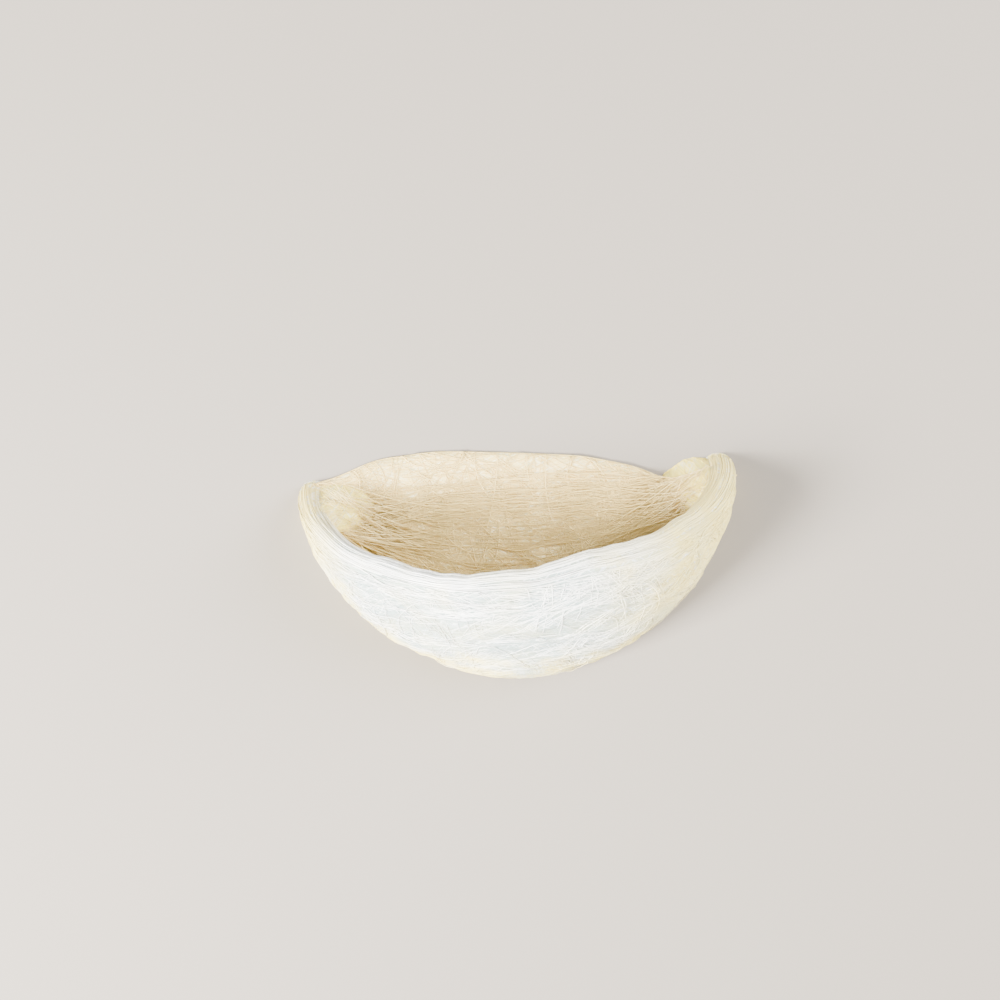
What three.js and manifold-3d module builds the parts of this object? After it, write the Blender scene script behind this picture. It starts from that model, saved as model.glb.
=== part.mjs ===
// Edible bird's nest: the half cup that a cave swiftlet builds against a wall
// from strands of its own dried saliva, as one grown piece.
//
// It lies on its flat back, the face that was stuck to the wall, which is the
// plane z = 0. X runs from foot to foot, -Y towards the bottom of the cup, and
// +Z out from the wall. The origin is the point on the back halfway between the
// two feet. All sizes are in millimetres.

import * as THREE from "three";
import { mergeVertices } from "three/addons/utils/BufferGeometryUtils.js";
import Module from "manifold-3d";

const { clamp, degToRad, lerp, smoothstep } = THREE.MathUtils;
const wasm = await Module();
wasm.setup();

// The cup
const HALF_WIDTH = 41; // foot to foot, halved
const CUP_DROP = 39.4; // from the line between the feet to the bottom of the cup
const PROJECTION = 35; // how far the cup stands out from the wall
const OUTLINE_POWER = 1.8; // 2 would make the outline an ellipse
const LIP_LEAN = degToRad(33); // the lip slopes down away from the wall
const LEAN_POWER = 1.5; // how late up the cup that slope begins
const LIP_WAVE = 1.3; // how far the lip wanders up and down
const UNDERCUT = 0.7; // the outside draws in where it meets the wall
const UNDERCUT_HEIGHT = 3;
const SWAY = 0.5; // of the outside, in and out

// The cup's wall
const WALL = 2.7;
const BOTTOM_WALL = 4.4;
const LIP_BEAD = 1.1; // added to the wall at the lip
const FOOT_SWELL = 1.2; // added to the lip where it runs into a foot
const SWELL_START = 0.72; // of the way up the cup
const BEAD_OUTSIDE = 0.4; // the share of the bead that stands out
const RIM_PARTS = [0, 0.25, 0.5, 0.75]; // round the rim, from the outside in
const RIM_ROUND = 0.7; // 1 would make the rim a half circle

// The layers of strands that show as ledges outside, and the lumpy web inside
const LAYERS = 16;
const LEDGE = 0.85;
const LEDGE_CREST = 0.82; // a layer's crest stands this far up the layer
const LEDGE_WANDER = 0.6; // of a layer
const INSIDE_ROWS = 11;
const INSIDE_LUMPS = 0.6;
const SEGMENTS = 92; // round the whole bowl, of which half is kept

// The feet, which held the cup to the wall: pads that are widest on the wall and
// lean along the lip as they rise
const FEET = [
  { centre: [-33.9, -3.7], size: [7.7, 5.2, 13], lean: [-3.6, -5.2] },
  { centre: [34.7, -4.2], size: [7, 5.4, 12], lean: [3.2, -4.6] },
];
const FOOT_PINCH = 0.55; // how much narrower than an ellipsoid's its top is
const FOOT_LUMPS = 0.06; // of the foot's size

// The thin sheet of web that lined the wall behind the cup
const SHEET = 1.7;
const SHEET_EDGE = [
  [-39.5, 0.6],
  [-34, 1.8],
  [-27, 4.8],
  [-15, 5.8],
  [0, 4.6],
  [13, 3.2],
  [23, 0.6],
  [30.5, -3.2],
  [35.5, -1],
  [39.5, 0.4],
].map(([x, y]) => new THREE.Vector2(x, y)); // its upper edge, from foot to foot
const SHEET_SUNK = 1.6; // how far the sheet runs into the cup's wall
const SHEET_SIDES = 10; // of its lower edge, on each half

// Raised strands
const STRAND_SIDES = 4;
const STRAND_STEPS = 10;
const OUTER_STRANDS = 14;
const OUTER_STRAND_RADIUS = 0.55;
const OUTER_STRAND_SPAN = [0.36, 0.96]; // how far up the cup they lie
const OUTER_STRAND_SPREAD = 0.36 * Math.PI; // of their middles, round the cup
const OUTER_STRAND_TURN = [0.5, 1.5]; // how far round the cup one reaches
const OUTER_STRAND_SLOPE = 0.05;
const OUTER_STRAND_OUT = 0.64; // how far the middle of one stands out
const OUTER_STRAND_SINK = 0.9; // how much deeper its ends lie
const WEB_STRANDS = 8;
const WEB_STRAND_RADIUS = 0.7;
const WEB_REACH = 37; // from the middle to a foot
const WEB_TOP = -4.4; // where they meet the feet
const WEB_SAG = [0, 30]; // of the highest and the lowest of them
const WEB_SWAY = 0.2; // off the sheet

const SALIVA = new THREE.MeshStandardMaterial({
  color: 0xefe8d2,
  roughness: 0.45,
  metalness: 0,
});

// Smooth noise from -1 to 1, the same each time for the same place and seed.
function noise(x, y, seed) {
  const corner = (i, j) => {
    const wave = Math.sin(i * 127.1 + j * 311.7 + seed * 74.7) * 43758.5453;
    return (wave - Math.floor(wave)) * 2 - 1;
  };
  const i = Math.floor(x);
  const j = Math.floor(y);
  const u = smoothstep(x - i, 0, 1);
  const v = smoothstep(y - j, 0, 1);
  const near = lerp(corner(i, j), corner(i + 1, j), u);
  const far = lerp(corner(i, j + 1), corner(i + 1, j + 1), u);
  return lerp(near, far, v);
}

// A point of the cup, or of the same cup grown outwards by some millimetres.
// rise goes from 0 at the bottom to 1 at the lip, and turn from 0 at the left
// foot, over the front, to half a turn at the right foot.
function cupPoint(rise, turn, grow, growDown = grow) {
  const level = (rise * Math.PI) / 2;
  const reach = Math.sin(level) ** (2 / OUTLINE_POWER);
  const drop = Math.cos(level) ** (2 / OUTLINE_POWER);
  const z = (PROJECTION + grow) * reach * Math.sin(turn);
  const inset = UNDERCUT * Math.exp(-Math.max(z, 0) / UNDERCUT_HEIGHT);
  const lean = Math.tan(LIP_LEAN) * rise ** LEAN_POWER * z;
  const wave = LIP_WAVE * rise ** 4 * noise(Math.cos(turn) * 3, 0.5, 5);
  return new THREE.Vector3(
    -(HALF_WIDTH + grow - inset) * reach * Math.cos(turn),
    -(CUP_DROP + growDown - inset) * drop - lean + wave,
    z,
  );
}

// How much thicker the wall is at the lip, most of all beside the feet.
function lipSwell(rise, turn) {
  const nearFoot = (1 - Math.abs(Math.sin(turn))) ** 2;
  return smoothstep(rise, SWELL_START, 1) * (LIP_BEAD + FOOT_SWELL * nearFoot);
}

// How far a point lies to the right, from -1 to 1 at the lip and 0 at the bottom.
function acrossAt(rise, turn) {
  return -Math.cos(turn) * Math.sin((rise * Math.PI) / 2);
}

// A row of the outside: the groove below a layer or the crest near its top.
function outsideRow(layer, place) {
  return (turn) => {
    const across = acrossAt((layer + place) / LAYERS, turn);
    const wander = layer ? LEDGE_WANDER * noise(across * 2.6, layer * 0.7, 1) : 0;
    const rise = clamp((layer + place + wander) / LAYERS, 0, 1);
    const ledge = place ? LEDGE * (0.6 + 0.4 * noise(across * 3.1, layer * 1.9, 2)) : 0;
    const sway = SWAY * noise(across * 2, layer * 0.4, 3);
    return cupPoint(rise, turn, ledge + sway + BEAD_OUTSIDE * lipSwell(rise, turn));
  };
}

// A row of the inside, lumpy with the loose web that lines the cup.
function insideRow(rise) {
  return (turn) => {
    const lumps = INSIDE_LUMPS * noise(acrossAt(rise, turn) * 5, rise * 9, 4);
    const wall = WALL + (1 - BEAD_OUTSIDE) * lipSwell(rise, turn);
    return cupPoint(rise, turn, lumps - wall, lumps - lerp(BOTTOM_WALL, wall, rise));
  };
}

// A row round the rim, part of the way from the outside to the inside.
function rimRow(part) {
  const outside = outsideRow(LAYERS, 0);
  const inside = insideRow(1);
  return (turn) => {
    const from = outside(turn);
    const to = inside(turn);
    const across = (1 - Math.cos(part * Math.PI)) / 2;
    const up = (RIM_ROUND * Math.sin(part * Math.PI) * from.distanceTo(to)) / 2;
    return from.lerp(to, across).add(new THREE.Vector3(0, up, 0));
  };
}

// The rows of the bowl, from the bottom up the outside, round the rim and down
// the inside.
function bowlRows() {
  const rows = [];
  for (let layer = 0; layer < LAYERS; layer++) {
    rows.push(outsideRow(layer, 0), outsideRow(layer, LEDGE_CREST));
  }
  rows.push(...RIM_PARTS.map(rimRow));
  for (let i = INSIDE_ROWS; i >= 0; i--) {
    rows.push(insideRow(i / INSIDE_ROWS));
  }
  return rows;
}

// A closed mesh as a solid that can be joined and cut.
function solidOf(geometry) {
  geometry.deleteAttribute("normal");
  geometry.deleteAttribute("uv");
  const merged = mergeVertices(geometry, 1e-4);
  const corners = [];
  for (let i = 0; i < merged.index.count; i += 3) {
    const [a, b, c] = [0, 1, 2].map((k) => merged.index.getX(i + k));
    if (a !== b && b !== c && a !== c) {
      corners.push(a, b, c);
    }
  }
  return new wasm.Manifold(
    new wasm.Mesh({
      numProp: 3,
      vertProperties: merged.attributes.position.array,
      triVerts: new Uint32Array(corners),
    }),
  );
}

// The whole round bowl: a turned ball whose vertices then take their rows'
// places. The wall cuts away its back half.
function bowl() {
  const rows = bowlRows();
  const profile = rows.map((_, i) => {
    const angle = (i / (rows.length - 1)) * Math.PI;
    return new THREE.Vector2(Math.sin(angle), -Math.cos(angle));
  });
  const geometry = new THREE.LatheGeometry(profile, SEGMENTS);
  const place = geometry.getAttribute("position");
  for (let i = 0; i < place.count; i++) {
    const segment = Math.floor(i / rows.length) % SEGMENTS;
    const turn = (segment / SEGMENTS) * 2 * Math.PI - Math.PI / 2;
    place.setXYZ(i, ...rows[i % rows.length](turn));
  }
  return solidOf(geometry);
}

// One foot: a lumpy pad of hardened strands, made from a ball.
function foot({ centre, size, lean }) {
  const geometry = new THREE.SphereGeometry(1, 20, 14);
  const place = geometry.getAttribute("position");
  const point = new THREE.Vector3();
  for (let i = 0; i < place.count; i++) {
    point.fromBufferAttribute(place, i);
    const up = Math.max(point.z, 0);
    const lumps = 1 + FOOT_LUMPS * noise(point.y * 2 + point.x, point.z * 2, centre[0]);
    const wide = lumps * (1 - FOOT_PINCH * up);
    place.setXYZ(
      i,
      centre[0] + lean[0] * up + size[0] * point.x * wide,
      centre[1] + lean[1] * up + size[1] * point.y * wide,
      size[2] * point.z * lumps,
    );
  }
  return solidOf(geometry);
}

// The sheet of web behind the cup, from its upper edge down into the cup's wall.
function backSheet() {
  const outline = new THREE.Shape();
  outline.moveTo(...SHEET_EDGE[0]);
  outline.splineThru(SHEET_EDGE.slice(1));
  for (let i = 1; i < 2 * SHEET_SIDES; i++) {
    const turn = i < SHEET_SIDES ? Math.PI : 0;
    const rise = Math.abs(1 - i / SHEET_SIDES);
    const point = cupPoint(rise, turn, -SHEET_SUNK);
    outline.lineTo(point.x, point.y);
  }
  return solidOf(
    new THREE.ExtrudeGeometry(outline, {
      depth: SHEET,
      bevelEnabled: false,
      curveSegments: 3,
    }),
  );
}

// A strand along a smooth line through some points.
function strand(points, radius) {
  const corners = [];
  for (let i = 0; i < STRAND_SIDES; i++) {
    const angle = (i / STRAND_SIDES) * 2 * Math.PI;
    corners.push(new THREE.Vector2(radius * Math.cos(angle), radius * Math.sin(angle)));
  }
  return solidOf(
    new THREE.ExtrudeGeometry(new THREE.Shape(corners), {
      steps: STRAND_STEPS,
      extrudePath: new THREE.CatmullRomCurve3(points),
    }),
  );
}

// A strand that crosses the ledges of the outside, its ends sunk in the cup.
function outerStrand(i) {
  const middle = Math.PI / 2 + OUTER_STRAND_SPREAD * noise(i * 1.7, 0, 6);
  const length = lerp(...OUTER_STRAND_TURN, (1 + noise(i * 2.3, 0, 7)) / 2);
  const rise = lerp(...OUTER_STRAND_SPAN, i / (OUTER_STRANDS - 1));
  const slope = OUTER_STRAND_SLOPE * noise(i * 3.1, 0, 8);
  const points = [-1, -0.67, -0.33, 0, 0.33, 0.67, 1].map((part) => {
    const turn = middle + (part * length) / 2;
    const height = clamp(rise + slope * part, 0, 0.98);
    const out = OUTER_STRAND_OUT - OUTER_STRAND_SINK * Math.abs(part) ** 3;
    return cupPoint(height, turn, out + BEAD_OUTSIDE * lipSwell(height, turn));
  });
  return strand(points, OUTER_STRAND_RADIUS);
}

// A strand of the web that hangs from foot to foot across the sheet.
function webStrand(i) {
  const sag = lerp(...WEB_SAG, i / (WEB_STRANDS - 1));
  const points = [-1, -0.7, -0.35, 0, 0.35, 0.7, 1].map((part) => {
    const x = WEB_REACH * part;
    const y = WEB_TOP - sag * (1 - part ** 2) + noise(part * 4, i, 9);
    return new THREE.Vector3(x, y, SHEET + WEB_SWAY * noise(part * 3, i, 10));
  });
  return strand(points, WEB_STRAND_RADIUS);
}

// Every part of the nest grown together and cut flat where the wall was. Only
// the outer skin is kept, so bubbles shut in between strands are filled.
function nest() {
  const grown = [
    bowl(),
    backSheet(),
    ...FEET.map(foot),
    ...Array.from({ length: OUTER_STRANDS }, (_, i) => outerStrand(i)),
    ...Array.from({ length: WEB_STRANDS }, (_, i) => webStrand(i)),
  ].reduce((whole, piece) => whole.add(piece));
  const room = 4 * HALF_WIDTH;
  const wall = solidOf(new THREE.BoxGeometry(room, room, room).translate(0, 0, -room / 2));
  const skins = grown.subtract(wall).decompose();
  const skin = skins.reduce((a, b) => (b.volume() > a.volume() ? b : a));
  const { vertProperties, triVerts } = skin.getMesh();
  const geometry = new THREE.BufferGeometry();
  geometry.setAttribute("position", new THREE.BufferAttribute(vertProperties, 3));
  geometry.setIndex(new THREE.BufferAttribute(triVerts, 1));
  geometry.computeVertexNormals();
  const mesh = new THREE.Mesh(geometry, SALIVA);
  mesh.name = "nest";
  return mesh;
}

const part = new THREE.Group();
part.add(nest());

export default part;
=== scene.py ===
"""The looks of an edible bird's nest: a half cup of dried saliva strands that lies on its flat back.

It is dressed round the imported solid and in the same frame: X runs from foot to foot, -Y to the bottom of
the cup and +Z out of the wall that it grew on. Lengths are in millimetres until a mesh is made. Lengths in
materials, lights and the floor are in metres.
"""

import math

import bpy
import numpy as np
from mathutils import Matrix, Vector


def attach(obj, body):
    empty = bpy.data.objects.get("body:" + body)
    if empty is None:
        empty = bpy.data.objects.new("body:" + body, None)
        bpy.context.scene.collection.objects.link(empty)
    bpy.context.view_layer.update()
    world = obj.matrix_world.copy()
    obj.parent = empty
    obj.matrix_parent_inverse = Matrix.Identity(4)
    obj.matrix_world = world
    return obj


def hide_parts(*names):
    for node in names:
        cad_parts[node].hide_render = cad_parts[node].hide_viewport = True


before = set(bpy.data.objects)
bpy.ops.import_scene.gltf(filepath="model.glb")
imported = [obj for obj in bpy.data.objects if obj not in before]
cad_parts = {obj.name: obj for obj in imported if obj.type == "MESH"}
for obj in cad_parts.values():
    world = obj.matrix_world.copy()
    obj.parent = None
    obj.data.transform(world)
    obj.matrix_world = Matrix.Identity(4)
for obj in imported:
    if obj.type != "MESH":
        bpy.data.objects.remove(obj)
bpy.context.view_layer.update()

MM = 0.001

# The cup, as in the solid
HALF_WIDTH = 41
CUP_DROP = 39.4
PROJECTION = 35
OUTLINE_POWER = 1.8
LIP_LEAN = math.radians(33)
LEAN_POWER = 1.5
LIP_WAVE = 1.3
UNDERCUT = 0.7
UNDERCUT_HEIGHT = 3
SWAY = 0.5
WALL = 2.7
BOTTOM_WALL = 4.4
LIP_BEAD = 1.1
FOOT_SWELL = 1.2
SWELL_START = 0.72
BEAD_OUTSIDE = 0.4
RIM_ROUND = 0.7
LAYERS = 16
LEDGE = 0.85
LEDGE_CREST = 0.82
LEDGE_WANDER = 0.6
INSIDE_LUMPS = 0.6

# The feet, as in the solid: the centre on the wall, half the size each way, and the lean of the top
FEET = {
    "left_foot": ((-33.9, -3.7), (7.7, 5.2, 13), (-3.6, -5.2)),
    "right_foot": ((34.7, -4.2), (7, 5.4, 12), (3.2, -4.6)),
}
FOOT_PINCH = 0.55
FOOT_LUMPS = 0.06

# The web behind the cup, as in the solid: its thickness and upper edge. It reaches into the cup's wall,
# stays a little thick at its edge, and its flat back ends just inside the outline.
SHEET = 1.7
SHEET_LEAST = 0.05
SHEET_HALF = 39.8
SHEET_SUNK = 1.6
SHEET_BACK_INSET = 0.1
SHEET_EDGE_ROUND = 12
SHEET_EDGE_X = (-39.5, -34, -27, -15, 0, 13, 23, 30.5, 35.5, 39.5)
SHEET_EDGE_Y = (0.6, 1.8, 4.8, 5.8, 4.6, 3.2, 0.6, -3.2, -1, 0.4)

# The dried strands run together and fill most of each ledge
LEDGE_SHOWN = 0.32
FELT = 0.14
FIBRE = 0.04
FIBRES_ACROSS = 7
FIBRES_PER_LAYER = 5

# How finely the surfaces are drawn
CUP_COLUMNS = 300
OUTSIDE_ROWS = 210
RIM_ROWS = 9
INSIDE_ROWS = 90
SHEET_COLUMNS = 330
SHEET_ROWS = 110
SHEET_BACK_ROWS = 12
FOOT_COLUMNS = 150
FOOT_ROWS = 80
STRAND_SIDES = 3

# For strands: the least height above the wall, how far under the lip the normals of its strands start, and
# the way out of the wall
LOWEST_STRAND = 0.1
LOWEST_ON_FOOT = 0.08
LIP_MIDDLE = 1.2
OUT_OF_WALL = (0.0, 0.0, 1.0)

# Lengths along the surfaces for the fine fibres in their materials, in metres: for one radian round the
# cup, and from its bottom up to the lip
ROUND = 0.038
UP = 0.055

# Fine fibres in the wall's material: width and length in metres, and the turn of those that cross
LAID_FIBRE = (0.0005, 0.009)
CROSSED_FIBRE = (0.0004, 0.005)
RISING = 0.55
FALLING = -0.6

# Where the colour of the middle turns to that of the sides, in metres, and how uneven that line is
# The warm colour of the sides, the right of the cup and the base is partly the nest's own cream and partly
# painted warm light showing through the thin edges
RIGHT_TURN = (0.006, 0.041)
LEFT_TURN = (-0.032, -0.041)
LOW_TURN = (0.034, 0.017)
LOW_TURN_PATCHES = 0.03
PATCHES_PER_METRE = 170
CLOUDS_PER_METRE = 130
CLOUD_SHARE = 0.3

# How the dried saliva takes light
SALIVA_IOR = 1.5
COAT_ROUGHNESS = 0.22
LIGHT_SPREAD = (1.0, 0.85, 0.6)
LIGHT_DEPTH = 0.0016
WALL_ROUGHNESS = (0.28, 0.53)

WHITE = (0.95, 0.96, 0.93)
# MILK, the wall's ground under its white fibres, is darker and cooler than the nest: painted shade between
# the fibres and a painted cool reflection
MILK = (0.40, 0.49, 0.46)
# IVORY and HONEY, towards the feet, the right side and the base, are partly the nest's own cream and partly
# painted warm light showing through the thin edges
IVORY = (0.93, 0.79, 0.29)
HONEY = (0.95, 0.78, 0.18)
PALE = (0.93, 0.85, 0.56)
# CREAM and BEIGE inside the cup, on the web behind it and on its strands are painted shade in the hollow
# with painted warm light; on the feet they are partly the nest's own cream and partly painted warm light
# showing through
CREAM = (0.90, 0.76, 0.36)
BEIGE = (0.84, 0.65, 0.25)

# The photograph's view
ELEVATION = math.radians(85)
TURNED = math.radians(3.54)
PICTURE = 1000
ORIGIN_AT = (515, 476)
MM_PER_PIXEL = 0.192
LENS = 85
SENSOR = 36

# The floor and the light
FLOOR_HALF = 3
FLOOR_COLOUR = (0.22, 0.195, 0.165, 1)
FLOOR_ROUGHNESS = 0.8
WORLD_STRENGTH = 0.82
KEY = {"place": (-0.42, -0.2, 0.36), "size": 0.2, "power": 34, "colour": (1.0, 0.98, 0.95)}
FILL = {"place": (0.42, 0.05, 0.4), "size": 0.4, "power": 14, "colour": (1.0, 0.99, 0.97)}

# These turn a place and a seed into a number that looks random
SCATTER_X = 127.1
SCATTER_Y = 311.7
SCATTER_SEED = 74.7
SCATTER = 43758.5453


def lerp(a, b, t):
    return a + (b - a) * t


def smoothstep(x, low, high):
    t = np.clip((x - low) / (high - low), 0, 1)
    return t * t * (3 - 2 * t)


def noise(x, y, seed):
    """Smooth noise from -1 to 1, the same each time for the same place and seed."""
    x, y = np.broadcast_arrays(np.asarray(x, float), np.asarray(y, float))
    i, j = np.floor(x), np.floor(y)

    def corner(di, dj):
        wave = np.sin((i + di) * SCATTER_X + (j + dj) * SCATTER_Y + seed * SCATTER_SEED) * SCATTER
        return (wave - np.floor(wave)) * 2 - 1

    u = smoothstep(x - i, 0, 1)
    v = smoothstep(y - j, 0, 1)
    near = lerp(corner(0, 0), corner(1, 0), u)
    far = lerp(corner(0, 1), corner(1, 1), u)
    return lerp(near, far, v)


def strand_noise(count, place, apart, seed):
    """Noise along each of many strands, each with a line of its own."""
    return noise(place, np.arange(count)[:, None] * apart, seed)


def unit(vectors):
    return vectors / np.maximum(np.linalg.norm(vectors, axis=-1, keepdims=True), 1e-9)


# Shape of the cup

def cup_point(rise, turn, grow, grow_down=None):
    """A point of the cup grown outwards by some millimetres. rise goes from 0 at the bottom to 1 at the lip,
    and turn from 0 at the left foot, over the front, to half a turn at the right foot."""
    grow_down = grow if grow_down is None else grow_down
    level = rise * math.pi / 2
    reach = np.sin(level) ** (2 / OUTLINE_POWER)
    drop = np.maximum(np.cos(level), 0) ** (2 / OUTLINE_POWER)
    z = (PROJECTION + grow) * reach * np.sin(turn)
    inset = UNDERCUT * np.exp(-np.maximum(z, 0) / UNDERCUT_HEIGHT)
    lean = math.tan(LIP_LEAN) * rise**LEAN_POWER * z
    wave = LIP_WAVE * rise**4 * noise(np.cos(turn) * 3, 0.5, 5)
    x = -(HALF_WIDTH + grow - inset) * reach * np.cos(turn)
    y = -(CUP_DROP + grow_down - inset) * drop - lean + wave
    return np.stack(np.broadcast_arrays(x, y, z), axis=-1)


def lip_swell(rise, turn):
    """How much thicker the wall is at the lip, most of all beside the feet."""
    near_foot = (1 - np.abs(np.sin(turn))) ** 2
    return smoothstep(rise, SWELL_START, 1) * (LIP_BEAD + FOOT_SWELL * near_foot)


def across_at(rise, turn):
    """How far a place of the cup is towards the left foot, at -1, or the right foot, at 1."""
    return -np.cos(turn) * np.sin(rise * math.pi / 2)


def outside(rise, turn, lift=0.0, fibres=1.0):
    """Points of the outside, with the ledges of its layers and the ridges of fused strands."""
    row = np.clip(rise, 0, 1) * LAYERS
    layer = np.minimum(np.floor(row), LAYERS - 1)
    place = row - layer
    across = across_at(rise, turn)
    fall = np.clip((place - LEDGE_CREST) / (1 - LEDGE_CREST), 0, 1)
    here = np.where(layer > 0, noise(across * 2.6, layer * 0.7, 1), 0)
    above = noise(across * 2.6, (layer + 1) * 0.7, 1)
    wander = LEDGE_WANDER * lerp(here, above, place)
    at = np.clip((row + wander) / LAYERS, 0, 1)
    crest = LEDGE_SHOWN * LEDGE * (0.6 + 0.4 * noise(across * 3.1, layer * 1.9, 2))
    ledge = crest * np.where(place < LEDGE_CREST, (place / LEDGE_CREST) ** 1.3, smoothstep(1 - fall, 0, 1))
    sway = SWAY * noise(across * 2, row * 0.4, 3)
    ridge = noise(across * FIBRES_ACROSS, row * FIBRES_PER_LAYER + 2 * noise(across * 3, row, 21), 20)
    felt = noise(across * 15, row * 1.2, 35) + 0.6 * noise(across * 37, row * 3.1, 36)
    fine = fibres * (FELT * felt + FIBRE * ridge)
    grow = ledge + sway + fine + BEAD_OUTSIDE * lip_swell(at, turn) + lift
    return cup_point(at, turn, grow)


def inside(rise, turn, lift=0.0):
    """Points of the inside, lumpy with the loose web that lines the cup. lift is into the hollow."""
    across = across_at(rise, turn)
    lumps = INSIDE_LUMPS * noise(across * 5, rise * 9, 4) + 0.35 * noise(across * 16, rise * 26, 22)
    wall = WALL + (1 - BEAD_OUTSIDE) * lip_swell(rise, turn) + lift
    return cup_point(rise, turn, lumps - wall, lumps - lerp(BOTTOM_WALL + lift, wall, rise))


def rim(part, turn):
    """Points round the rim: part goes from 0 outside to 1 inside."""
    start, end = outside(1.0, turn, fibres=0), inside(1.0, turn)
    half = (end - start) / 2
    thick = np.linalg.norm(half, axis=-1, keepdims=True)
    part = np.asarray(part, float)[..., None]
    flat = -half * np.cos(part * math.pi)
    up = RIM_ROUND * thick * np.sin(part * math.pi) * np.array([0.0, 1.0, 0.0])
    return (start + end) / 2 + flat + up


def foot_point(ball, centre, size, lean, lift=0.0):
    """Points of a foot, from those of a ball: it leans along the lip as it rises from the wall."""
    x, y, z = np.moveaxis(ball, -1, 0)
    up = np.maximum(z, 0)
    lumps = 1 + FOOT_LUMPS * noise(y * 2 + x, z * 2, centre[0])
    lumps = lumps + 0.02 * noise(x * 6 + y, z * 6, 40) + 0.012 * noise(x * 15 + z * 5, y * 15, 41)
    wide = lumps * (1 - FOOT_PINCH * up)
    across = centre[0] + lean[0] * up + (size[0] * wide + lift) * x
    along = centre[1] + lean[1] * up + (size[1] * wide + lift) * y
    return np.stack([across, along, np.maximum((size[2] * lumps + lift) * z, 0)], axis=-1)


def sheet_top(x):
    """The upper edge of the web behind the cup, as a smooth line through its points."""
    edge = np.interp(x, SHEET_EDGE_X, SHEET_EDGE_Y)
    around = [np.interp(x + d, SHEET_EDGE_X, SHEET_EDGE_Y) for d in (-3, -1.5, 1.5, 3)]
    return (2 * edge + sum(around)) / 6


def sheet_bottom(x, inset):
    """The outline of the cup where it met the wall, drawn inwards by some millimetres."""
    share = np.clip(np.abs(x) / (HALF_WIDTH - UNDERCUT - inset), 0, 1)
    return -(CUP_DROP - UNDERCUT - inset) * (1 - share**OUTLINE_POWER) ** (1 / OUTLINE_POWER)


def sheet_point(across, along, lift=0.0, inset=SHEET_SUNK):
    """Points of the web behind the cup: across from -1 to 1, along from 0 at the bottom, where it runs into
    the cup's wall, to 1 at its edge."""
    x = across * SHEET_HALF
    y = lerp(sheet_bottom(x, inset), sheet_top(x), along)
    lumps = 0.3 * noise(x / 4, y / 4, 23) + 0.12 * noise(x / 1.3, y / 1.3, 24)
    rounded = SHEET * (1 - along**SHEET_EDGE_ROUND) ** 0.5 * np.ones_like(x)
    z = rounded + lumps * np.minimum(1, (1 - along) * SHEET_EDGE_ROUND) + lift
    return np.stack(np.broadcast_arrays(x, y, np.maximum(z, SHEET_LEAST)), axis=-1)


# Meshes

def add_mesh(name, points, faces, material, flow=None):
    """One smooth mesh of quads that rides on the nest's body, from points in millimetres. flow gives each
    point's place on the surface: along the strands, and across them."""
    mesh = bpy.data.meshes.new(name)
    mesh.vertices.add(len(points))
    mesh.vertices.foreach_set("co", (points * MM).astype(np.float32).ravel())
    mesh.loops.add(faces.size)
    mesh.loops.foreach_set("vertex_index", faces.astype(np.int32).ravel())
    mesh.polygons.add(len(faces))
    mesh.polygons.foreach_set("loop_start", np.arange(len(faces), dtype=np.int32) * 4)
    mesh.polygons.foreach_set("use_smooth", np.ones(len(faces), bool))
    if flow is not None:
        layer = mesh.uv_layers.new(name="flow")
        layer.data.foreach_set("uv", flow[faces.ravel()].astype(np.float32).ravel())
    mesh.update(calc_edges=True)
    mesh.validate()
    mesh.materials.append(material)
    piece = bpy.data.objects.new(name, mesh)
    bpy.context.scene.collection.objects.link(piece)
    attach(piece, "root")
    return piece


def flow_grid(along, across):
    """The flow of a grid of points, from its lengths along and across the strands."""
    return np.stack(np.broadcast_arrays(along[None, :], across[:, None]), axis=-1).reshape(-1, 2)


def grid_faces(rows, columns, around=False):
    """The quads of a grid, whose columns close into a ring where around is true."""
    row = np.arange(rows - 1)[:, None]
    column = np.arange(columns if around else columns - 1)[None, :]
    after = (column + 1) % columns
    corners = [row * columns + column, row * columns + after]
    corners += [(row + 1) * columns + after, (row + 1) * columns + column]
    return np.stack(np.broadcast_arrays(*corners), axis=-1).reshape(-1, 4)


def add_strands(name, lines, normals, half_width, flatness, material):
    """Tapered flattened strands as one mesh. lines and normals are (strands, points, 3), and flatness is
    a strand's height over its width."""
    count, points = lines.shape[:2]
    along = unit(np.gradient(lines, axis=1))
    side = unit(np.cross(along, normals))
    up = np.cross(side, along)
    share = np.linspace(0, 1, points)
    taper = np.maximum(np.sin(np.pi * share), 0.02) ** 0.4
    width = np.reshape(half_width, (-1, 1)) * taper
    height = np.reshape(half_width * flatness, (-1, 1)) * taper
    angles = np.pi / 2 + np.arange(STRAND_SIDES) * 2 * np.pi / STRAND_SIDES
    ring = [
        lines + side * (np.cos(a) * width)[..., None] + up * (np.sin(a) * height)[..., None] for a in angles
    ]
    vertices = np.stack(ring, axis=2).reshape(-1, 3)
    one = grid_faces(points, STRAND_SIDES, around=True)
    starts = np.arange(count)[:, None, None] * points * STRAND_SIDES
    faces = (one[None] + starts).reshape(-1, 4)
    add_mesh(name, vertices, faces, material)


def surface_lines(surface, rise, turn, lift):
    """Lines on one of the surfaces above, with the surface's normals along them."""
    step = 0.01
    higher = surface(np.clip(rise + step, 0, 1), turn, lift)
    lower = surface(np.clip(rise - step, 0, 1), turn, lift)
    by_turn = surface(rise, turn + step, lift) - surface(rise, turn - step, lift)
    return surface(rise, turn, lift), unit(np.cross(by_turn, higher - lower))


# Materials

def new_material(name):
    material = bpy.data.materials.new(name)
    material.use_nodes = True
    return material, material.node_tree.nodes, material.node_tree.links


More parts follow.
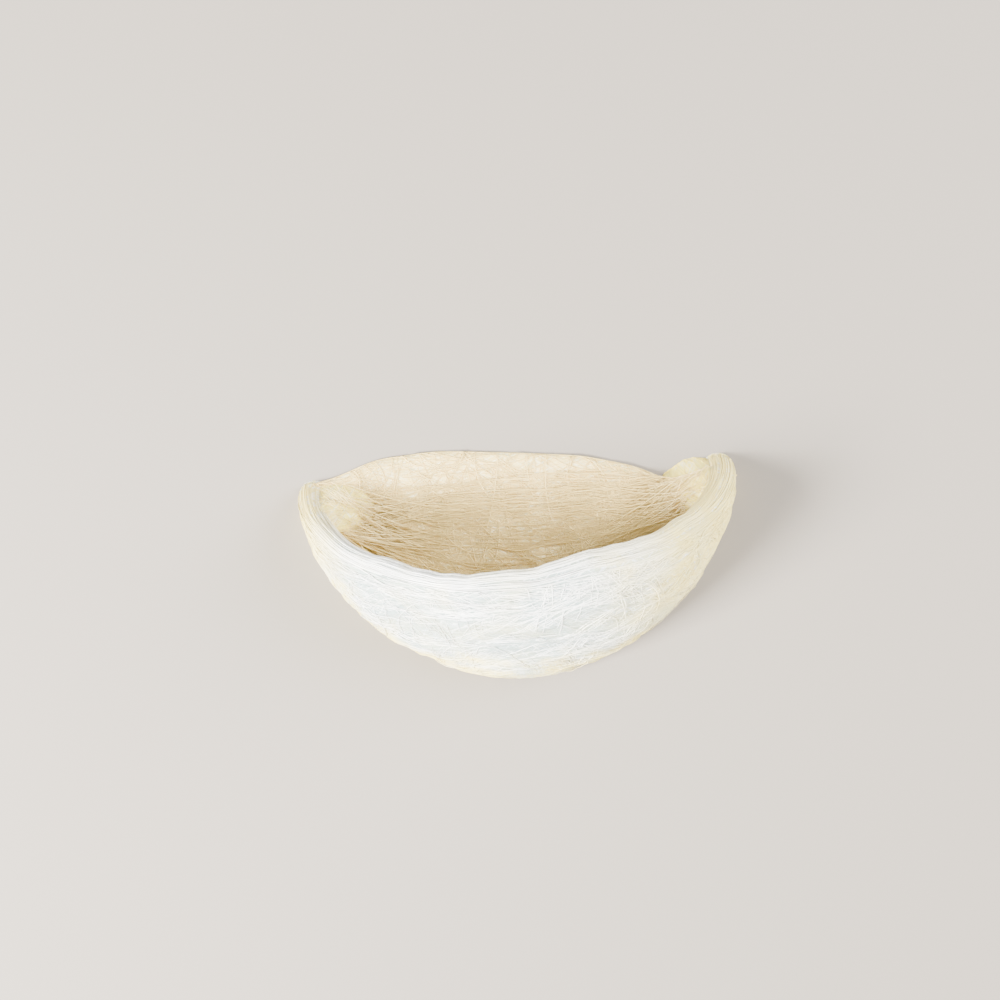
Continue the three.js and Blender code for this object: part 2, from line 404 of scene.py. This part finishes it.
def reading(nodes, links, source, low, high, start=0.0, end=1.0):
    """A number that goes from start to end as the source goes from low to high."""
    span = nodes.new("ShaderNodeMapRange")
    span.interpolation_type = "SMOOTHSTEP"
    span.inputs["From Min"].default_value = low
    span.inputs["From Max"].default_value = high
    span.inputs["To Min"].default_value = start
    span.inputs["To Max"].default_value = end
    links.new(source, span.inputs["Value"])
    return span.outputs["Result"]


def combine(nodes, links, operation, first, second):
    """Two numbers, or a number and a constant, brought together."""
    node = nodes.new("ShaderNodeMath")
    node.operation = operation
    links.new(first, node.inputs[0])
    if isinstance(second, (int, float)):
        node.inputs[1].default_value = second
    else:
        links.new(second, node.inputs[1])
    return node.outputs["Value"]


def blend(nodes, links, share, first, second):
    """A colour part of the way between two, each a socket or a plain colour."""
    mix = nodes.new("ShaderNodeMix")
    mix.data_type = "RGBA"
    links.new(share, mix.inputs[0])
    for socket, colour in ((mix.inputs[6], first), (mix.inputs[7], second)):
        if isinstance(colour, tuple):
            socket.default_value = (*colour, 1)
        else:
            links.new(colour, socket)
    return mix.outputs[2]


def noise_at(nodes, links, place, scale, detail):
    cloud = nodes.new("ShaderNodeTexNoise")
    cloud.inputs["Scale"].default_value = scale
    cloud.inputs["Detail"].default_value = detail
    links.new(place, cloud.inputs["Vector"])
    return cloud.outputs["Fac"]


def parts_of(nodes, links, vector):
    """The parts of a vector as three numbers, named X, Y and Z."""
    parts = nodes.new("ShaderNodeSeparateXYZ")
    links.new(vector, parts.inputs["Vector"])
    return parts.outputs


def flow_of(nodes):
    """The place on the surface, along the strands and across them."""
    flow = nodes.new("ShaderNodeUVMap")
    flow.uv_map = "flow"
    return flow.outputs["UV"]


def bump(nodes, links, shader, height, strength, distance):
    """Gives a surface fine relief."""
    raised = nodes.new("ShaderNodeBump")
    raised.inputs["Strength"].default_value = strength
    raised.inputs["Distance"].default_value = distance
    links.new(height, raised.inputs["Height"])
    links.new(raised.outputs["Normal"], shader.inputs["Normal"])


def tone(nodes, links, place, middle, sides):
    """The colour by its place on the nest: one in the middle of the cup, the other towards the feet and
    the wall, with cloudy mottling between them. The second colour is partly the nest's own cream and partly
    painted warm light showing through the thin feet and edges; on the web behind the cup it is painted
    shade."""
    axes = parts_of(nodes, links, place)
    right = reading(nodes, links, axes["X"], *RIGHT_TURN)
    left = reading(nodes, links, axes["X"], *LEFT_TURN)
    uneven = noise_at(nodes, links, place, PATCHES_PER_METRE, 4)
    patches = combine(nodes, links, "MULTIPLY", uneven, LOW_TURN_PATCHES)
    height = combine(nodes, links, "ADD", axes["Z"], patches)
    low = reading(nodes, links, height, *LOW_TURN)
    mottled = noise_at(nodes, links, place, CLOUDS_PER_METRE, 4)
    cloud = reading(nodes, links, mottled, 0.35, 0.75, 0, CLOUD_SHARE)
    edge = combine(nodes, links, "MAXIMUM", combine(nodes, links, "MAXIMUM", right, left), low)
    share = combine(nodes, links, "ADD", edge, cloud)
    return blend(nodes, links, share, middle, sides)


def fibres(nodes, links, angle, width, length):
    """Thin ridges along the surface's flow, turned by an angle."""
    turned = nodes.new("ShaderNodeMapping")
    turned.vector_type = "TEXTURE"
    turned.inputs["Rotation"].default_value = (0, 0, angle)
    turned.inputs["Scale"].default_value = (length, width, 1)
    links.new(flow_of(nodes), turned.inputs["Vector"])
    return noise_at(nodes, links, turned.outputs["Vector"], 1, 2)


def shine(shader, roughness, coat, subsurface):
    """Sets the surface's gloss and how far light goes into it."""
    shader.inputs["Roughness"].default_value = roughness
    shader.inputs["IOR"].default_value = SALIVA_IOR
    shader.inputs["Coat Weight"].default_value = coat
    shader.inputs["Coat Roughness"].default_value = COAT_ROUGHNESS
    shader.inputs["Subsurface Weight"].default_value = subsurface
    shader.inputs["Subsurface Radius"].default_value = LIGHT_SPREAD
    shader.inputs["Subsurface Scale"].default_value = LIGHT_DEPTH


def felt(name, middle, sides, inside_shade, threads):
    """The fused wall: faintly see-through, with fine fibres that cross at low angles. The colour given after
    sides is that of the inside: painted shade in the hollow with painted warm light. threads is that of the
    fibres."""
    material, nodes, links = new_material(name)
    shader = nodes["Principled BSDF"]
    shine(shader, roughness=0.4, coat=0.25, subsurface=0.5)
    place = nodes.new("ShaderNodeTexCoord").outputs["Object"]
    along = fibres(nodes, links, 0.0, *LAID_FIBRE)
    rising = fibres(nodes, links, RISING, *CROSSED_FIBRE)
    falling = fibres(nodes, links, FALLING, *CROSSED_FIBRE)
    crossing = combine(nodes, links, "MAXIMUM", rising, falling)
    across = parts_of(nodes, links, flow_of(nodes))["Y"]
    within = reading(nodes, links, across, UP * 1.02, UP * 1.15)
    # The inside of the cup takes a deeper, warmer colour: painted shade in the hollow with painted warm
    # light
    colour = blend(nodes, links, within, tone(nodes, links, place, middle, sides), inside_shade)
    bright = reading(nodes, links, crossing, 0.53, 0.64, 0, 0.75)
    # The ground under the pale fibres is darker than they are: painted shade between the fibres
    pale = blend(nodes, links, bright, colour, threads)
    links.new(pale, shader.inputs["Base Color"])
    dull = reading(nodes, links, noise_at(nodes, links, place, 260, 2), 0.35, 0.65, *WALL_ROUGHNESS)
    links.new(dull, shader.inputs["Roughness"])
    height = combine(nodes, links, "ADD", along, crossing)
    bump(nodes, links, shader, height, strength=0.7, distance=0.0003)
    return material


def hair(name, middle, sides, roughness, coat):
    """Single dried strands, glossy and a little uneven."""
    material, nodes, links = new_material(name)
    shader = nodes["Principled BSDF"]
    shine(shader, roughness, coat, subsurface=0)
    place = nodes.new("ShaderNodeTexCoord").outputs["Object"]
    links.new(tone(nodes, links, place, middle, sides), shader.inputs["Base Color"])
    bump(nodes, links, shader, noise_at(nodes, links, place, 1500, 2), strength=0.3, distance=0.0001)
    return material


# Pieces of the nest

def cup(material):
    """The cup's wall: its outside from the bottom up, the rim, and its inside down again."""
    turn = np.linspace(0, math.pi, CUP_COLUMNS)
    up = np.linspace(0, 1, OUTSIDE_ROWS)
    over = np.linspace(0, 1, RIM_ROWS + 2)[1:-1]
    down = np.linspace(1, 0, INSIDE_ROWS)
    outer = [outside(r, turn) for r in up]
    round_lip = [rim(np.full_like(turn, p), turn) for p in over]
    inner = [inside(r, turn) for r in down]
    rows = np.array(outer + round_lip + inner)
    across = np.concatenate([up, 1 + 0.1 * over, 2.1 - down])
    flow = flow_grid(turn * ROUND, across * UP)
    piece = add_mesh("cup_wall", rows.reshape(-1, 3), grid_faces(*rows.shape[:2]), material, flow)
    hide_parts("nest")


def back_sheet(material):
    """The sheet of web that lined the wall, closed by the flat face that touched it."""
    across = np.linspace(-1, 1, SHEET_COLUMNS)
    up, down = np.linspace(0, 1, SHEET_ROWS), np.linspace(1, 0, SHEET_BACK_ROWS)
    front = [sheet_point(across, a) for a in up]
    back = [sheet_point(across, a, inset=SHEET_BACK_INSET) * (1, 1, 0) for a in down]
    rows = np.array(front + back + front[:1])
    flow = flow_grid(across * ROUND, np.linspace(0, UP, len(rows)))
    add_mesh("back_sheet", rows.reshape(-1, 3), grid_faces(*rows.shape[:2]), material, flow)


def foot(name, shape, material):
    """A lumpy pad of hardened strands, flat where it held on to the wall."""
    tilt = np.linspace(0.001, math.pi - 0.001, FOOT_ROWS)
    spin = np.linspace(0, 2 * math.pi, FOOT_COLUMNS, endpoint=False)
    tilt, spin = np.meshgrid(tilt, spin, indexing="ij")
    ball = np.stack([np.sin(tilt) * np.cos(spin), np.cos(tilt), np.sin(tilt) * np.sin(spin)], axis=-1)
    points = foot_point(ball, *shape).reshape(-1, 3)
    flow = points[:, [1, 0]] * MM
    add_mesh(name, points, grid_faces(*tilt.shape, around=True), material, flow)


def laid_strands(rng, name, surface, material, count, length, angle, bend, spread, width, lift, points):
    """Strands laid over the outside or the inside. count is the bundles and the strands in each, length is
    in millimetres, angle and bend are away from the layers, spread is how far a bundle's strands lie apart,
    width is half a strand's and lift is off the surface."""
    bundles, each = count
    strands = bundles * each

    def varied(middle, deviation):
        return (middle + rng.normal(0, deviation, count)).reshape(-1, 1)

    rise0 = np.clip(varied(np.sqrt(rng.uniform(0.03, 1.0, (bundles, 1))), spread), 0.03, 0.99)
    turn0 = varied(rng.uniform(0.02, 0.98, (bundles, 1)) * math.pi, 2 * spread)
    slant = varied(rng.normal(0, angle, (bundles, 1)), angle / 4)
    bow = varied(rng.normal(0, bend, (bundles, 1)), bend / 4)
    reach = (rng.uniform(*length, (bundles, 1)) * rng.uniform(0.55, 1.1, count)).reshape(-1, 1) / 2
    share = np.linspace(-1, 1, points)
    along = share * reach
    wobble = 0.5 * strand_noise(strands, along / 6, 1.37, 31)
    radius = np.maximum(ROUND / MM * np.sin(rise0 * math.pi / 2), 8)
    turn = np.clip(turn0 + along * np.cos(slant) / radius, 0.01, math.pi - 0.01)
    climb = along * np.sin(slant) + bow * along**2 + wobble
    rise = np.clip(rise0 + climb / (UP / MM), 0.015, 0.995)
    up = rng.uniform(*lift, (strands, 1)) - 0.25 * np.abs(share) ** 6
    line, normal = surface_lines(surface, rise, turn, up)
    line[..., 2] = np.maximum(line[..., 2], LOWEST_STRAND)
    half_width = rng.uniform(*width, strands)
    add_strands(name, line, normal, half_width, 0.5, material)


def lip_strands(rng, count, material):
    """Strands that run along the rim from foot to foot and twist slowly round it."""
    share = np.linspace(0, 1, 48)
    start = rng.uniform(-0.1, 0.75, (count, 1)) * math.pi
    length = rng.uniform(0.5, 1.9, (count, 1))
    turn = np.clip(start + share * length, 0.02, math.pi - 0.02)
    part = rng.uniform(0.0, 1.0, (count, 1)) + rng.normal(0, 0.22, (count, 1)) * share
    part = np.clip(part + 0.05 * strand_noise(count, turn * 4, 1.7, 32), 0, 1)
    line = rim(part, turn)
    middle = rim(np.full_like(part, 0.5), turn) - np.array([0, LIP_MIDDLE, 0])
    normal = unit(line - middle)
    line = line + normal * rng.uniform(0.0, 0.12, (count, 1, 1))
    add_strands("lip_strands", line, normal, rng.uniform(0.07, 0.2, count), 0.7, material)


def wall_strands(rng, name, line, width, material):
    """Strands that lie over the wall, from lines and the least and most of half their width."""
    normals = np.broadcast_to(OUT_OF_WALL, line.shape)
    add_strands(name, line, normals, rng.uniform(*width, len(line)), 0.7, material)


def back_web(rng, count, material):
    """A loose net of strands that cross each other over the front of the back sheet."""
    across = rng.uniform(-1, 1, (count, 1))
    along = rng.uniform(0, 1, (count, 1))
    heading = rng.normal(0, 0.7, (count, 1)) + math.pi / 2 * (rng.random((count, 1)) < 0.3)
    share = np.linspace(-0.5, 0.5, 20)
    angle = heading + rng.normal(0, 0.9, (count, 1)) * share
    reach = rng.uniform(0.2, 0.8, (count, 1))
    across = np.clip(across + np.cos(angle) * share * reach, -0.97, 0.97)
    along = np.clip(along + np.sin(angle) * share * reach, 0.02, 0.995)
    lift = 0.1 + rng.uniform(0, 0.35, (count, 1)) * np.cos(share * math.pi) ** 2
    wall_strands(rng, "back_web", sheet_point(across, along, lift), (0.04, 0.13), material)


def hanging_strands(rng, count, material):
    """Strands that hang from foot to foot across the back sheet."""
    share = np.linspace(-1, 1, 40)
    reach = rng.uniform(24, 38, (count, 1))
    shift = rng.uniform(-8, 8, (count, 1))
    sag = rng.uniform(-3, 31, (count, 1))
    x = np.clip(shift + share * reach, -38, 38)
    y = -3.4 - sag * (1 - (x / 39) ** 2) + 0.8 * strand_noise(count, x / 6, 1.3, 33)
    y = np.minimum(y, sheet_top(x) - 0.2)
    z = SHEET + rng.uniform(0, 0.8, (count, 1)) + 0.3 * noise(x / 5, y / 5, 34)
    wall_strands(rng, "hanging_strands", np.stack([x, y, z], axis=-1), (0.04, 0.12), material)


def foot_strands(rng, name, shape, count, material):
    """Strands wrapped over a foot, from the wall up and round to the lip."""
    share = np.linspace(0, 1, 20)
    spin = rng.uniform(0, 2 * math.pi, (count, 1)) + share * rng.uniform(0.4, 1.6, (count, 1))
    axis = unit(rng.normal(0, 1, (count, 3)) * (0.5, 1.0, 0.6))
    one = unit(np.cross(axis, rng.normal(0, 1, (count, 3))))
    two = np.cross(axis, one)
    offset = rng.uniform(-0.75, 0.75, (count, 1))[..., None]
    circle = np.cos(spin)[..., None] * one[:, None] + np.sin(spin)[..., None] * two[:, None]
    ball = unit(circle * np.sqrt(1 - offset**2) + axis[:, None] * offset)
    line = foot_point(ball, *shape, lift=0.04)
    line[..., 2] = np.maximum(line[..., 2], LOWEST_ON_FOOT)
    add_strands(name, line, ball, rng.uniform(0.05, 0.14, count), 0.6, material)


def anchor_strands(rng, name, side, count, material):
    """Strands that fan out from a foot and come down on the sheet, so that the foot runs into it. side is
    -1 on the left and 1 on the right."""
    landing = SHEET + 0.1
    share = np.linspace(0, 1, 18)
    start = np.stack([
        side * rng.uniform(32, 37.5, (count, 1)),
        rng.uniform(-10.5, 0.5, (count, 1)),
        rng.uniform(1.5, 10, (count, 1)),
    ], axis=-1)
    end = np.stack([
        side * rng.uniform(5, 27, (count, 1)),
        rng.uniform(-19, 0, (count, 1)),
        np.full((count, 1), landing),
    ], axis=-1)
    line = lerp(start, end, share[None, :, None])
    line[..., 2] = landing + (start[..., 2] - SHEET) * (1 - share) ** 2.2
    line[..., 1] = np.minimum(line[..., 1] - 1.5 * np.sin(share * math.pi), sheet_top(line[..., 0]) - 0.3)
    wall_strands(rng, name, line, (0.04, 0.13), material)


def nest():
    """Every piece of the nest."""
    rng = np.random.default_rng(7)
    # The wall's MILK ground is painted shade between its fibres and a painted cool reflection
    milky = felt("saliva_white", MILK, IVORY, CREAM, WHITE)
    # The web behind the cup lies in the hollow: its CREAM and BEIGE are painted shade with painted warm
    # light
    beige = felt("saliva_beige_painted_shade", CREAM, BEIGE, CREAM, PALE)
    # The feet's BEIGE and HONEY are partly the nest's own cream and partly painted warm light showing
    # through the thin pads
    pad = felt("saliva_foot", BEIGE, HONEY, BEIGE, PALE)
    # The layer strands take MILK as well: painted shade and a painted cool reflection, as on the wall
    dull = hair("strand_dull", MILK, IVORY, 0.4, 0.2)
    white = hair("strand_white", WHITE, IVORY, 0.32, 0.4)
    # Strands on the feet: their warm colour is partly their own and partly painted warm light showing
    # through
    warm = hair("strand_warm", CREAM, HONEY, 0.32, 0.4)
    # Strands inside the cup and over the web behind it: their CREAM and BEIGE are painted shade in the
    # hollow with painted warm light
    honey = hair("strand_beige_painted_shade", CREAM, BEIGE, 0.36, 0.3)
    cup(milky)
    back_sheet(beige)
    for name, shape in FEET.items():
        foot(name, shape, pad)
        foot_strands(rng, name + "_strands", shape, 220, warm)
    laid_strands(
        rng, "layer_strands", outside, dull, count=(90, 6), length=(20, 75), angle=0.05, bend=0.0012,
        spread=0.014, width=(0.06, 0.2), lift=(-0.04, 0.04), points=30,
    )
    laid_strands(
        rng, "crossing_strands", outside, white, count=(170, 7), length=(7, 24), angle=0.7, bend=0.012,
        spread=0.03, width=(0.06, 0.13), lift=(0.04, 0.18), points=14,
    )
    laid_strands(
        rng, "loose_strands", outside, white, count=(80, 1), length=(7, 26), angle=0.8, bend=0.04,
        spread=0.0, width=(0.08, 0.15), lift=(0.12, 0.32), points=20,
    )
    laid_strands(
        rng, "inside_web", inside, honey, count=(260, 4), length=(8, 34), angle=0.7, bend=0.015,
        spread=0.05, width=(0.04, 0.13), lift=(0.05, 0.45), points=18,
    )
    lip_strands(rng, 170, white)
    back_web(rng, 900, honey)
    hanging_strands(rng, 170, honey)
    anchor_strands(rng, "left_anchors", -1, 190, honey)
    anchor_strands(rng, "right_anchors", 1, 190, honey)


# The photograph's view, the floor and the light

def camera():
    """A long lens nearly straight above, with the nest where the photograph has it."""
    back = Vector((0, -math.cos(ELEVATION), math.sin(ELEVATION)))
    level_up = Vector((0, math.sin(ELEVATION), math.cos(ELEVATION)))
    right = Vector((math.cos(TURNED), 0, 0)) - level_up * math.sin(TURNED)
    up = Vector((math.sin(TURNED), 0, 0)) + level_up * math.cos(TURNED)
    width = PICTURE * MM_PER_PIXEL * MM
    aside = (PICTURE / 2 - ORIGIN_AT[0]) * MM_PER_PIXEL * MM
    above = (ORIGIN_AT[1] - PICTURE / 2) * MM_PER_PIXEL * MM
    data = bpy.data.cameras.new("camera")
    data.lens = LENS
    data.sensor_width = SENSOR
    data.clip_start = 0.01
    eye = bpy.data.objects.new("camera", data)
    place = right * aside + up * above + back * (width * LENS / SENSOR)
    eye.matrix_world = Matrix.Translation(place) @ Matrix((right, up, back)).transposed().to_4x4()
    bpy.context.scene.collection.objects.link(eye)
    bpy.context.scene.camera = eye


def area_light(name, place, size, power, colour):
    """A square light that faces the nest."""
    data = bpy.data.lights.new(name, "AREA")
    data.size = size
    data.energy = power
    data.color = colour
    lamp = bpy.data.objects.new(name, data)
    lamp.location = place
    lamp.rotation_euler = (-Vector(place)).to_track_quat("-Z", "Y").to_euler()
    bpy.context.scene.collection.objects.link(lamp)


def studio():
    """A plain pale floor under soft light from above."""
    mesh = bpy.data.meshes.new("floor")
    corners = [(x * FLOOR_HALF, y * FLOOR_HALF, 0) for x, y in ((-1, -1), (1, -1), (1, 1), (-1, 1))]
    mesh.from_pydata(corners, [], [(0, 1, 2, 3)])
    floor = bpy.data.objects.new("floor", mesh)
    bpy.context.scene.collection.objects.link(floor)
    material, nodes, _ = new_material("floor_paint")
    nodes["Principled BSDF"].inputs["Base Color"].default_value = FLOOR_COLOUR
    nodes["Principled BSDF"].inputs["Roughness"].default_value = FLOOR_ROUGHNESS
    mesh.materials.append(material)
    world = bpy.data.worlds.new("studio")
    world.use_nodes = True
    world.node_tree.nodes["Background"].inputs["Color"].default_value = (1, 1, 1, 1)
    world.node_tree.nodes["Background"].inputs["Strength"].default_value = WORLD_STRENGTH
    bpy.context.scene.world = world
    area_light("key", **KEY)
    area_light("fill", **FILL)


camera()
studio()
nest()
